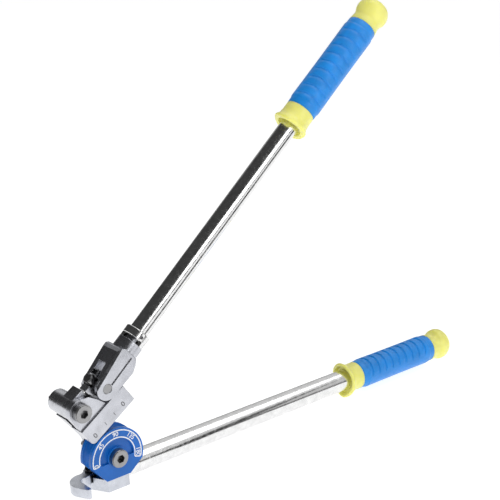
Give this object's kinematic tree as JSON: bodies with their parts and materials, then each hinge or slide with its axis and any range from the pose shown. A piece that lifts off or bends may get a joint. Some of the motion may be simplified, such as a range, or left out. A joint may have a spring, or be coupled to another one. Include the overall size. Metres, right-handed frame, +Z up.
{
  "type": "manual tube bender",
  "caption": "Hand tube bender: grooved former with an angle scale, sliding shoe on a swinging arm, swivelling upper handle, tube latch and vise heel.",
  "frame": {"origin": "the former's axis at the middle of its groove", "axes": "+X along the lower handle towards its grip, +Y along the former's axis towards the back, +Z up"},
  "size_m": [0.5738, 0.0815, 0.4715],
  "materials": {
    "casting": "satin",
    "arm_steel": "satin",
    "shoe_steel": "satin",
    "former_blue": "satin",
    "tube_chrome": "polished",
    "grip_blue": "satin",
    "soft_yellow": "satin",
    "bolt_steel": "satin",
    "dark_steel": "satin",
    "bush_bronze": "satin"
  },
  "bodies": {
    "lower_frame": {"head_casting": "casting", "lower_tube": "tube_chrome", "lower_tube_pin": "dark_steel", "lower_guard": "soft_yellow", "lower_grip": "grip_blue", "lower_end_cap": "soft_yellow", "former": "former_blue", "former_key": "dark_steel", "pivot_bolt": "bolt_steel", "pivot_washers": "bolt_steel", "pivot_nut": "bolt_steel", "latch_pin": "dark_steel"},
    "latch": {"tube_latch": "casting"},
    "arm": {"arm_link": "arm_steel", "pivot_bush": "bush_bronze", "shoe_bolt": "bolt_steel", "shoe_bolt_nut": "bolt_steel", "clevis_pin": "bolt_steel", "clevis_pin_clips": "dark_steel", "detent_spring": "dark_steel"},
    "shoe": {"forming_shoe": "shoe_steel", "shoe_bush": "bush_bronze"},
    "button": {"detent_button": "bolt_steel"},
    "upper_handle": {"clevis": "shoe_steel", "handle_collar": "tube_chrome", "collar_pin": "dark_steel", "upper_tube": "tube_chrome", "upper_guard": "soft_yellow", "upper_grip": "grip_blue", "upper_end_cap": "soft_yellow"}
  },
  "joints": [
    {"name": "arm_swing", "type": "hinge", "parent": "lower_frame", "child": "arm", "pos_m": [0, 0.03, 0], "axis": [0, 1, 0], "range_deg": [-56.6, 123.4]},
    {"name": "shoe_rock", "type": "hinge", "parent": "arm", "child": "shoe", "pos_m": [-0.03534, 0, 0.05995], "axis": [0, 1, 0], "range_deg": [-3, 3]},
    {"name": "handle_swivel", "type": "hinge", "parent": "arm", "child": "upper_handle", "pos_m": [-0.00671, 0, 0.07775], "axis": [0, 1, 0], "range_deg": [-90, 0]},
    {"name": "detent_press", "type": "slide", "parent": "arm", "child": "button", "axis": [0.6388, 0, -0.7694], "range_m": [0, 0.0025], "stiffness_N_per_m": 400, "springref_m": -0.002, "deforming": ["detent_spring"]},
    {"name": "latch_swing", "type": "hinge", "parent": "lower_frame", "child": "latch", "pos_m": [-0.018, 0.017, -0.023], "axis": [0, 0, 1], "range_deg": [-70, 0]}
  ]
}
